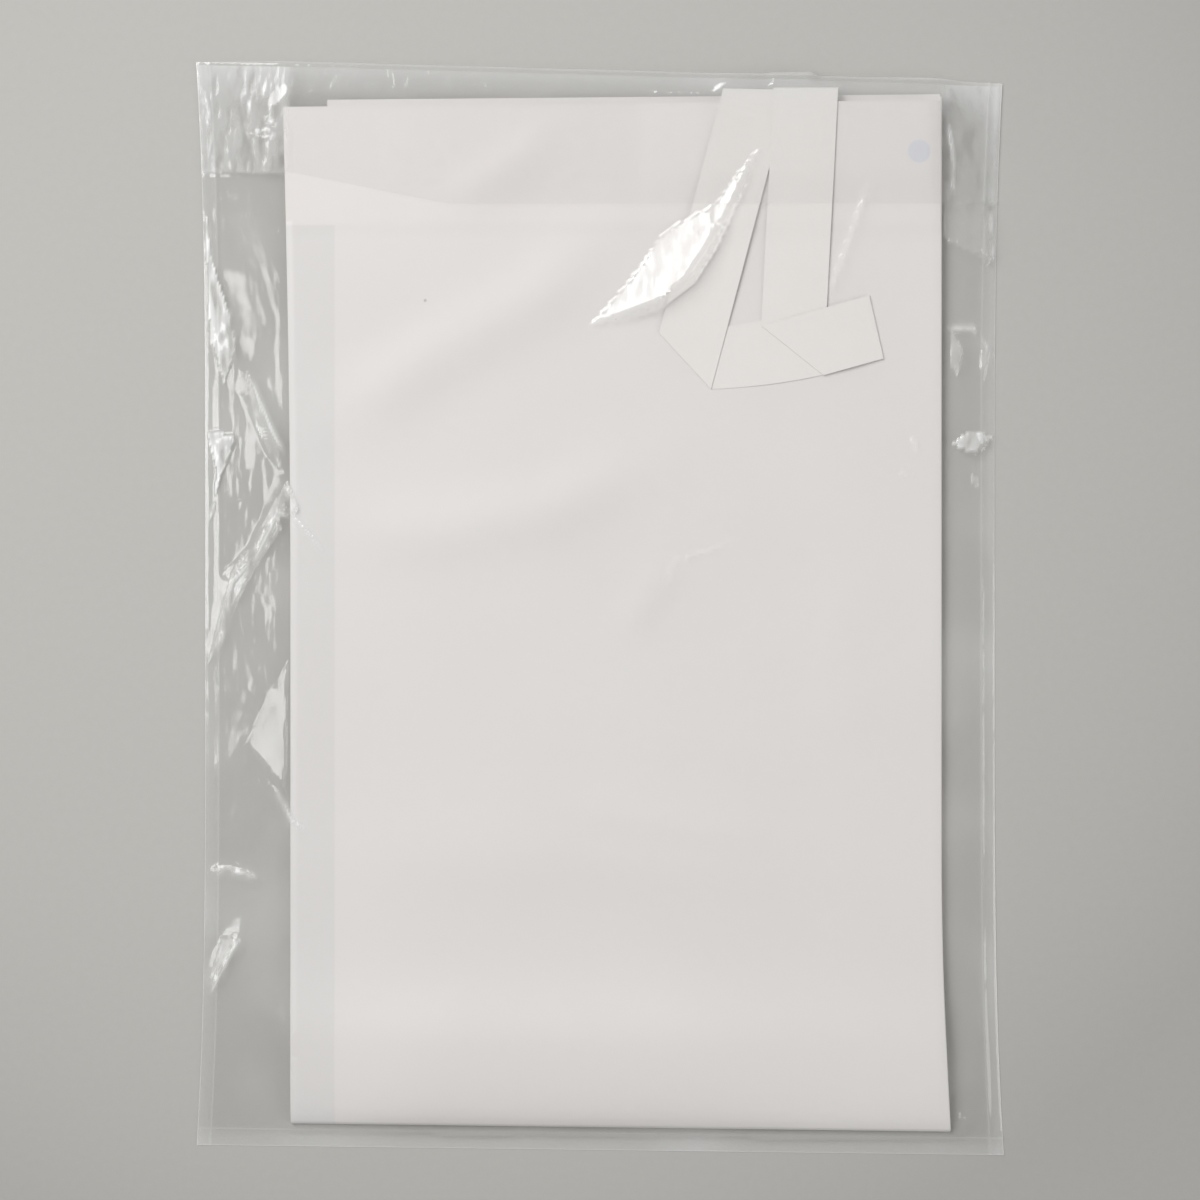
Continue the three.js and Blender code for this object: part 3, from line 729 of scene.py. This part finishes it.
def strap_rows():
    """Rulings of the strap from one tail to the other: rows by points across, in millimetres."""
    ends = [np.array([strap_left + across, strap_top - down]) for across, down in STRAP_CORNERS]

    def along(i):
        step = ends[i + 1] - ends[i]
        return step / np.linalg.norm(step)

    def cross(v):
        return np.array([-v[1], v[0]])

    def turn_at(i):
        """The line that the tape turns over about, its half length and the heights that it joins."""
        into, away = along(i - 1), along(i)
        line = (into + away) / np.linalg.norm(into + away)
        if line @ cross(into) < 0:
            line = -line
        out = (into - away) / np.linalg.norm(into - away)
        half = STRAP_WIDTH / 2 / abs(line @ cross(into))
        low = float(STRAP_SPANS[i - 1][2](ends[i][0], ends[i][1] - STRAP_RISE))
        high = float(STRAP_SPANS[i][1](ends[i][0], ends[i][1] - STRAP_RISE))
        return {"line": line, "out": out, "half": half, "low": low, "high": high,
                "slide": (line @ into) / (out @ into)}

    turns = [turn_at(i) if 0 < i < len(ends) - 1 else None for i in range(len(ends))]
    sides = np.linspace(1, -1, STRAP_ACROSS)
    rows = []
    for i, (steps, start_height, end_height, bow, hump) in enumerate(STRAP_SPANS):
        first_edge = cross(along(i)) * (-1 if i % 2 else 1)

        def border(turn, end, sign):
            """Points across the tape where a span starts or ends: square at a tail, slanting at a corner."""
            if turn is None:
                return end + np.outer(sides, first_edge) * STRAP_WIDTH / 2
            reach = abs(turn["high"] - turn["low"]) / 2
            centre = end - turn["out"] * (reach + STRAP_THICK / 2)
            centre = centre + turn["line"] * sign * reach * turn["slide"]
            line = turn["line"] if turn["line"] @ first_edge > 0 else -turn["line"]
            return centre + np.outer(sides, line) * turn["half"]

        first = border(turns[i], ends[i], 1)
        last = border(turns[i + 1], ends[i + 1], -1)
        for share in np.linspace(0, 1, steps + 1):
            flat = first + (last - first) * share + cross(along(i)) * 4 * bow * share * (1 - share)
            x, y = flat[:, 0], flat[:, 1]
            z = start_height(x, y) * (1 - share) + end_height(x, y) * share
            z = z + hump * math.sin(math.pi * share) ** 2
            rows.append(np.stack([x, y, z], -1))
        after = turns[i + 1]
        if after is None:
            continue
        reach = abs(after["high"] - after["low"]) / 2
        edge = rows[-1]
        for angle in np.linspace(0, math.pi, CORNER_ROWS + 2)[1:-1]:
            flat = edge[:, :2] + after["out"] * reach * math.sin(angle)
            flat = flat + after["line"] * reach * after["slide"] * 2 * angle / math.pi
            height = edge[:, 2] + (after["high"] - after["low"]) * (1 - math.cos(angle)) / 2
            rows.append(np.concatenate([flat, height[:, None]], 1))
    return np.array(rows)


def carry_strap(material, rows):
    """The tape with its thickness, closed round its edges."""
    ahead = np.concatenate([rows[1:, :], rows[-1:, :]])
    behind = np.concatenate([rows[:1, :], rows[:-1, :]])
    normal = np.cross(ahead - behind, (rows[:, :1] - rows[:, -1:]) + 0 * rows)
    normal = normal / np.linalg.norm(normal, axis=-1, keepdims=True)
    upper = rows + normal * STRAP_THICK / 2
    lower = rows - normal * STRAP_THICK / 2
    shape = Shape()
    shape.sheet(np.concatenate([upper, lower[:, ::-1]], 1), ring=True)
    shape.sheet(np.array([lower[0], upper[0]]))
    shape.sheet(np.array([upper[-1], lower[-1]]))
    return shape.piece("tape_strap", material, "carry_strap")


# Slope that makes a facet of the film shine from above, at the middle, and how it grows to the right
CREASE_SLOPE = 0.392
CREASE_STEEPENS = 0.00061

# How the film leans by itself in its left and right margins, and over what width that sets in
LEFT_LEAN = 0.1
RIGHT_LEAN = 0.14
LEAN_OUT, LEAN_IN = 6.0, 2.0

# Painted highlight, as whiteness, on a crease's line with its fade, on its flank, and on the flap's left and
# right ends
LINE_WHITE = 0.65
LINE_SOFT = 0.9
LINE_TAPER = 0.2
FLANK_WHITE = 0.3
FLAP_WHITE = 0.32
FLAP_WHITE_RIGHT = 0.2

# Creases in the front film: course from top to bottom, width of the flank to its west and to its east
FILM_LINES = [
    ([(-147, 148), (-145.5, 131), (-144, 118), (-138, 109), (-135.7, 86)], 4, 1.5),
    ([(-131.5, 88), (-122, 66), (-116.3, 54.6)], 6, 3),
    ([(-116.3, 47), (-122, 30.4), (-128, 18.8), (-137, 9.5), (-140.9, -12.5), (-146, -21.4)], 5, 2),
    ([(-116, 37), (-111.4, 31.5), (-101, 18.8)], 2.5, 1),
    ([(-121, -66), (-114.8, -78.8), (-108, -84)], 2.5, 1.2),
    ([(-146, -98), (-138, -97.5), (-125, -101)], 4, 1),
    ([(-133, -121), (-146, -145.5)], 7, 1),
    ([(129.3, 183), (131.2, 171), (131.6, 164), (131.2, 152)], 1.6, 1),
    ([(127.5, 104), (139, 104), (144, 97), (143, 87)], 2, 2),
    ([(145.4, 149), (146.5, 128)], 1.6, 1),
    ([(101.4, 161), (92.8, 138), (84.6, 114)], 2, 3),
    ([(48.8, 24), (27, 17.3), (24, 6)], 1, 3),
    ([(116, 64), (118, 58)], 1.5, 1),
    ([(111, 51), (117, 47)], 1.5, 1),
    ([(-148.5, 197), (-145.6, 185), (-144.6, 175), (-147.2, 162)], 1.8, 0.8),
    ([(-131, 178), (-119, 175)], 1.2, 0.8),
    ([(-125, 182), (-119, 179)], 1.2, 0.8),
]

# Pleats of the front film: west and east border from top to bottom, added slope between them, and painted
# highlight (whiteness)
FILM_PLEATS = [
    ([(60.4, 172.5), (51, 161), (42.9, 149.8), (32.5, 144.5), (24, 139.5), (9.5, 119.5), (-4.5, 104)],
     [(60.4, 172.5), (52, 153), (41.7, 132.4), (34.3, 120.6), (22.7, 112), (9.5, 107.9), (-4.5, 104)],
     -0.03, 0.25),
    ([(-146.5, 66), (-143, 52), (-143.5, 35.6), (-146, 32)],
     [(-146.5, 66), (-135.7, 64), (-141, 50), (-146, 32)], 0, 0.7),
    ([(-121, 36), (-127, 25), (-137, 14), (-144, -12), (-146, -21)],
     [(-121, 36), (-118, 30), (-128, 15), (-135, 2), (-146, -21)], 0, 0.35),
    ([(-116, 47), (-122, 38), (-126, 30)], [(-116, 47), (-112, 36), (-126, 30)], 0, 0.5),
    ([(138, 66), (130.5, 61)], [(138, 66), (147, 64), (139, 57), (130.5, 61)], -0.3, 0.6),
    ([(128, 150), (128, 137)], [(128, 150), (144, 151), (145.4, 128), (128, 137)], -0.4, 0.15),
    ([(130.5, 104), (130.5, 90), (133, 86)], [(130.5, 104), (135, 96), (133, 86)], -0.2, 0.35),
    ([(138, 50), (138, 46), (141, 45)], [(138, 50), (141, 48), (141, 45)], -0.2, 0.4),
    ([(-141, -123), (-146, -140)], [(-141, -123), (-134, -123), (-146, -140)], 0, 0.25),
    ([(-116, -20), (-124, -34), (-131.6, -50)], [(-116, -20), (-117, -70), (-131.6, -50)], -0.14, 0.08),
    ([(-147, 148), (-146, 120), (-145, 100), (-140, 84)],
     [(-147, 148), (-145, 131), (-139, 112), (-135.3, 98), (-140, 84)], -0.02, 0.75),
    ([(-132, 88), (-128, 66), (-118, 50)], [(-132, 88), (-121, 66), (-118, 50)], -0.06, 0.25),
]
PLEAT_FALL = 3.0

# Shares of a pleat's painted highlight inside it and, on top of that, along its rim
PLEAT_INNER, PLEAT_RIM = 0.7, 0.6

# Beads that the film's pressed sides and its weld stand up in
BEAD_WIDTH = 1.2
BEAD_RISE = 0.6

# Waves that crumple the film: turn, length, height and shift
CRUMPLES = [
    (0.15, 13.0, 0.06, 0.3),
    (-0.25, 19.0, 0.1, 1.7),
    (0.5, 31.0, 0.18, 2.9),
    (1.9, 27.0, 0.08, 4.1),
]

# How far those waves bend to and fro, how quickly, and the share of their height that is left over the bag
WAVE_BEND = 0.35
WAVE_WANDER = 1.1
OVER_BAG_SHARE = 0.1

# Square grid on which the film is pulled taut
FILM_STEP = 1.5
FILM_ROUND = 3.0
FILM_SMOOTHINGS = 900
GROWTHS, GROWN_SHARE = 2, 0.98

# Grid of the film's mesh: steps over the bag, in the margins and along, and rows of rear, flap and bend
FINE_FROM = 104.0
MIDDLE_STEP = 1.7
MARGIN_STEP = 0.66
ROW_STEP = 1.3
REAR_ROWS, FLAP_ROWS, BEND_ROWS = 12, 34, 5

# Air between film and contents, room left at the film's borders, and how far the mouth stands open at the top
FILM_CLEAR = 0.25
SIDE_REST, TOP_REST, LEAST_STAND = 0.6, 1.5, 1.0
TOP_STAND = 2.2
TOP_STAND_IN = 30.0

# Samples of the strap on that grid: between two of its rows, and across it
STRAP_BETWEEN, STRAP_SAMPLES = 4, 33
NO_STRAP = -1.0


def strap_heights(x, y, rows):
    """Top of the strap on the film's grid, and a low number where there is none."""
    top = np.full(x.shape, NO_STRAP)
    x_low, y_low = x.min(), y.min()
    for a, b in zip(rows, rows[1:]):
        for share in np.linspace(0, 1, STRAP_BETWEEN):
            line = a + (b - a) * share
            across = np.linspace(0, len(line) - 1, STRAP_SAMPLES)
            points = np.stack([np.interp(across, np.arange(len(line)), line[:, k]) for k in range(3)], -1)
            column = np.round((points[:, 0] - x_low) / FILM_STEP).astype(int)
            row = np.round((points[:, 1] - y_low) / FILM_STEP).astype(int)
            np.maximum.at(top, (row, column), points[:, 2] + STRAP_THICK / 2)
    return top


def film_heights(strap):
    """A square grid with the height of the front film, pulled taut over the contents."""
    xs = np.arange(-SLEEVE_HALF - FILM_ROUND, SLEEVE_HALF + FILM_ROUND, FILM_STEP)
    ys = np.arange(sleeve_low[1] - FILM_ROUND, sleeve_high[1] + FILM_ROUND, FILM_STEP)
    x, y = np.meshgrid(xs, ys)
    in_bag = (x > bag_left(y)) & (x < bag_right(y)) & (y > bag_foot(x)) & (y < bag_mouth(x) + REAR_PROUD)
    contents = np.where(in_bag, bag_face(x, np.minimum(y, bag_mouth(x))), 0.0)
    contents = np.maximum(contents, strap_heights(x, y, strap))
    contents = np.where(contents > 0, contents + FILM_CLEAR, FILM)
    for _ in range(GROWTHS):
        grown, near = contents.copy(), contents * GROWN_SHARE
        grown[1:] = np.maximum(grown[1:], near[:-1])
        grown[:-1] = np.maximum(grown[:-1], near[1:])
        grown[:, 1:] = np.maximum(grown[:, 1:], near[:, :-1])
        grown[:, :-1] = np.maximum(grown[:, :-1], near[:, 1:])
        contents = grown
    inside = (np.abs(x) < sleeve_side(y) - SIDE_REST) & (y > sleeve_foot(x) + WELD_BAND)
    inside &= y < sleeve_top(x) - TOP_REST
    rim = FILM + TOP_STAND * ramp(sleeve_side(y) - np.abs(x), 0, TOP_STAND_IN) * (y > 0)
    z = np.where(inside, np.maximum(contents, LEAST_STAND), rim)
    for _ in range(FILM_SMOOTHINGS):
        around = z.copy()
        around[1:-1, 1:-1] = (z[:-2, 1:-1] + z[2:, 1:-1] + z[1:-1, :-2] + z[1:-1, 2:]) / 4
        z = np.where(inside, np.maximum(contents, around), rim)
    return xs, ys, z


def inside_outline(x, y, outline):
    """Whether each place lies inside a closed outline."""
    crossings = np.zeros(np.shape(x), int)
    for (ax, ay), (bx, by) in zip(outline, outline[1:] + outline[:1]):
        if ay != by:
            at = ax + (y - ay) * (bx - ax) / (by - ay)
            crossings += ((ay > y) != (by > y)) & (x < at)
    return crossings % 2 == 1


# Distance in from the bag's sides over which the film turns smooth
MIDDLE_BEGINS = (-1.0, 12.0)

# Distances from side, weld and top over which the film's creases and crumples set in
FLAT_AT_SIDE = (0.6, 3.5)
FLAT_AT_WELD = (0.0, 3.0)
SMOOTH_AT_TOP = (2.0, 16.0)


def film_creases(x, y):
    """Height that the creases, pleats, crumples and beads add to the front film."""
    crease = np.zeros(np.shape(x))
    lean = LEFT_LEAN * ramp(x, bag_left0 + LEAN_IN, bag_left0 - LEAN_OUT)
    lean = lean - RIGHT_LEAN * ramp(x, bag_right0 - LEAN_IN, bag_right0 + LEAN_OUT)
    slope = CREASE_SLOPE + CREASE_STEEPENS * x
    for line, west, east in FILM_LINES:
        crease = np.maximum(crease, ridge(x, y, line, (slope - lean) * west, east, west))
    for left, right, added, _ in FILM_PLEATS:
        inside = inside_outline(x, y, left + right[::-1])
        rise = (slope + added - lean) * line_distance(x, y, left)[0]
        fall = PLEAT_FALL * line_distance(x, y, right)[0]
        crease = np.maximum(crease, np.where(inside, np.minimum(rise, fall), 0))
    in_side = sleeve_side(y) - np.abs(x)
    over_foot = y - sleeve_foot(x)
    from_bead = np.minimum(np.abs(in_side - SIDE_BAND), np.abs(in_side - BEAD_WIDTH))
    from_bead = np.minimum(from_bead, np.abs(over_foot - WELD_BAND))
    bead = ramp(from_bead, BEAD_WIDTH, 0) * BEAD_WIDTH * BEAD_RISE * (slope - lean)
    edge = ramp(in_side, *FLAT_AT_SIDE) * ramp(over_foot - WELD_BAND, *FLAT_AT_WELD)
    return (crease + crumple(x, y) * ramp(sleeve_top(x) - y, *SMOOTH_AT_TOP)) * edge + bead


def painted_film_glints(x, y):
    """How far the front film is whitened by painted glints: along its creases, down their flanks, over its
    pleats and at the flap's ends.
    """
    white = np.zeros(np.shape(x))
    for line, west, east in FILM_LINES:
        gap, share, side = line_distance(x, y, line)
        ends = smooth(np.minimum(share, 1 - share), 0, LINE_TAPER)
        flank = FLANK_WHITE * ramp(gap, west, 0) * (side < 0)
        white = np.maximum(white, ends * np.maximum(LINE_WHITE * np.exp(-gap / LINE_SOFT), flank))
    white = white * (1 - over_middle(x) / 2)
    for left, right, _, whiteness in FILM_PLEATS:
        inside = inside_outline(x, y, left + right[::-1])
        rim = np.exp(-np.minimum(line_distance(x, y, left)[0], line_distance(x, y, right)[0]) / LINE_SOFT)
        white = np.maximum(white, np.where(inside, whiteness * (PLEAT_INNER + PLEAT_RIM * rim), 0))
    left_corner = rise_at(y, FLAP_END_LEFT, 0.5) * rise_at(-x, -bag_left0, 2)
    right_corner = rise_at(y, FLAP_END, 0.5) * rise_at(x, bag_right0, 2)
    return np.maximum(white, FLAP_WHITE * left_corner + FLAP_WHITE_RIGHT * right_corner)


def rise_at(value, place, reach):
    """0 well below a place and 1 well above it."""
    return smooth(value, place - reach, place + reach)


def crumple(x, y):
    """Many small flat facets, strongest over the margins."""
    total = np.zeros(np.shape(x))
    for turn, length, height, shift in CRUMPLES:
        along = x * math.cos(turn) + y * math.sin(turn)
        across = y * math.cos(turn) - x * math.sin(turn)
        phase = along / length + WAVE_BEND * np.sin(across / length * WAVE_WANDER + shift) + shift
        total = total + height * (2 * np.abs(phase - np.floor(phase + 0.5)) - 0.5)
    return total * (1 - (1 - OVER_BAG_SHARE) * over_middle(x))


def over_middle(x):
    """1 over the bag, 0 over the margins."""
    from_side = np.minimum(x - bag_left0, bag_right0 - x)
    return ramp(from_side, *MIDDLE_BEGINS)


def sample(xs, ys, z, x, y):
    """Bilinear value of the grid at any place."""
    u = np.clip((x - xs[0]) / FILM_STEP, 0, len(xs) - 1.001)
    v = np.clip((y - ys[0]) / FILM_STEP, 0, len(ys) - 1.001)
    i, j = u.astype(int), v.astype(int)
    fu, fv = u - i, v - j
    low = z[j, i] * (1 - fu) + z[j, i + 1] * fu
    high = z[j + 1, i] * (1 - fu) + z[j + 1, i + 1] * fu
    return low * (1 - fv) + high * fv


def flap_end(x):
    """The flap's lower edge, which slants up to the left."""
    return FLAP_END + (FLAP_END_LEFT - FLAP_END) * ramp(x, bag_left0 / 2, bag_left0)


# Air under the flap and its least height, and how far below the top edge the mouth and the edge's bend start
FLAP_GAP = 0.35
FLAP_LEAST = 0.4
MOUTH_DROP = 2.0
BEND_DROP = 1.0


def clear_sleeve(material, strap):
    """Front film, rear film and the flap that runs on from it over the top edge."""
    xs, ys, z = film_heights(strap)
    inner = np.linspace(-1, 1, 2 * int(FINE_FROM / MIDDLE_STEP)) * FINE_FROM / SLEEVE_HALF
    margin = np.linspace(FINE_FROM / SLEEVE_HALF, 1, int((SLEEVE_HALF - FINE_FROM) / MARGIN_STEP))[1:]
    u = np.concatenate([-margin[::-1], inner, margin])

    def rows_between(low, high, count, height):
        """Rows of points from one line across the sleeve to another."""
        rows = []
        for v in np.linspace(0, 1, count):
            x0 = u * SLEEVE_HALF
            y = low(x0) + (high(x0) - low(x0)) * v
            x = u * sleeve_side(y)
            rows.append(np.stack([x, y, height(x, y)], -1))
        return np.array(rows)

    def front_height(x, y):
        return sample(xs, ys, z, x, y) + film_creases(x, y)

    def rear_height(x, y):
        return 0 * x + FILM / 2

    def flap_height(x, y):
        return np.maximum(front_height(x, y) + FLAP_GAP, FLAP_LEAST)

    def mouth(x):
        return sleeve_top(x) - MOUTH_DROP

    def bend(x):
        return sleeve_top(x) - BEND_DROP

    front = rows_between(sleeve_foot, mouth, int(sleeve_height / ROW_STEP), front_height)
    rear = rows_between(sleeve_foot, bend, REAR_ROWS, rear_height)
    flap = rows_between(bend, flap_end, FLAP_ROWS, flap_height)
    turn_low, turn_high = rear[-1], flap[0]
    turned = []
    for angle in np.linspace(0, math.pi, BEND_ROWS + 2)[1:-1]:
        share = (1 - math.cos(angle)) / 2
        row = turn_low + (turn_high - turn_low) * share
        row[:, 1] += np.abs(turn_high[:, 2] - turn_low[:, 2]) / 2 * math.sin(angle)
        turned.append(row)
    shape = Shape()
    # Painted glints are stored on the front film only
    shape.sheet(front, painted_glint=painted_film_glints(front[..., 0], front[..., 1]))
    shape.sheet(rear[:, ::-1])
    shape.sheet(np.array([turn_low, *turned, turn_high])[:, ::-1])
    shape.sheet(flap[:, ::-1])
    return shape.piece("film_sleeve", material, "clear_sleeve")


# Half section of a snap disc: shares of its radius, with the flange's heights in millimetres and the
# boss's as shares of its thickness
DISC_FLANGE = [(0, 0), (0.7, 0), (0.95, 0.05), (1, 0.15), (0.95, 0.28), (0.5, 0.3)]
DISC_BOSS = [(0.4, 0.9), (0.3, 1), (0, 1)]
DISC_POINTS = 48


def snap_disc(name, node, material):
    """Moulded disc with rounded rims, in the place of one half of the snap."""
    low, high = box_mm(node)
    middle = (low + high) / 2
    radius = (high[0] - low[0]) / 2
    thick = high[2] - low[2]
    profile = [(radius * r, h) for r, h in DISC_FLANGE] + [(radius * r, thick * h) for r, h in DISC_BOSS]
    if node == "snap_socket":
        profile = [(r, thick - h) for r, h in profile][::-1]
    angles = np.linspace(0, 2 * math.pi, DISC_POINTS + 1)[:-1]
    rows = []
    for r, h in profile:
        x = middle[0] + r * np.cos(angles)
        y = middle[1] + r * np.sin(angles)
        z = 0 * x + puffed(middle[0], middle[1], low[2] + h)
        rows.append(np.stack([x, y, z], -1))
    shape = Shape()
    shape.sheet(np.array(rows), ring=True)
    return shape.piece(name, material, node)


# Floor, light and camera
FRAME_WIDTH = 447.3
FRAME_CENTRE_Y = 2.8
CAMERA_HEIGHT = 1500.0
SENSOR = 36.0
FLOOR_SIZE = 6000.0
FLOOR_DROP = 0.2
WORLD_LIGHT = 0.4

# Lamps: name, place, width and depth in metres, radiance
LAMPS = [
    ("key", (-0.95, 1.05, 1.35), 1.1, 1.1, 6.1),
    ("side", (-1.3, 0.12, 1.4), 0.3, 1.4, 5.5),
    ("fill", (1.8, -0.6, 0.8), 1.2, 1.2, 2.3),
]


def floor(material):
    bpy.ops.mesh.primitive_plane_add(size=FLOOR_SIZE * MM, location=(0, 0, -FLOOR_DROP * MM))
    plane = bpy.context.active_object
    plane.name = "floor"
    plane.data.materials.append(material)


def area_lamp(name, place, width, depth, radiance):
    """A rectangular lamp that faces the pack, with its light given as radiance."""
    data = bpy.data.lights.new(name, "AREA")
    data.shape = "RECTANGLE"
    data.size = width
    data.size_y = depth
    data.energy = radiance * width * depth * math.pi
    lamp = bpy.data.objects.new(name, data)
    lamp.location = place
    lamp.rotation_euler = (-Vector(place)).to_track_quat("-Z", "Y").to_euler()
    bpy.context.scene.collection.objects.link(lamp)


def studio():
    scene = bpy.context.scene
    world = bpy.data.worlds.new("studio")
    world.use_nodes = True
    background = world.node_tree.nodes["Background"]
    background.inputs["Color"].default_value = (1, 1, 1, 1)
    background.inputs["Strength"].default_value = WORLD_LIGHT
    scene.world = world
    for lamp in LAMPS:
        area_lamp(*lamp)
    scene.view_settings.view_transform = "Standard"


def camera():
    data = bpy.data.cameras.new("camera")
    data.sensor_width = SENSOR
    data.lens = SENSOR * CAMERA_HEIGHT / FRAME_WIDTH
    made = bpy.data.objects.new("camera", data)
    made.location = (0, FRAME_CENTRE_Y * MM, CAMERA_HEIGHT * MM)
    bpy.context.scene.collection.objects.link(made)
    bpy.context.scene.camera = made


camera()
studio()
floor(floor_paper())
strap = strap_rows()
tape = carry_strap(white_tape(), strap)
vinyl = folded_bag(white_vinyl())
sleeve = clear_sleeve(clear_film(), strap)
plastic = snap_plastic()
discs = [
    snap_disc("snap_disc_front", "snap_socket", plastic),
    snap_disc("snap_disc_rear", "snap_stud", plastic),
]
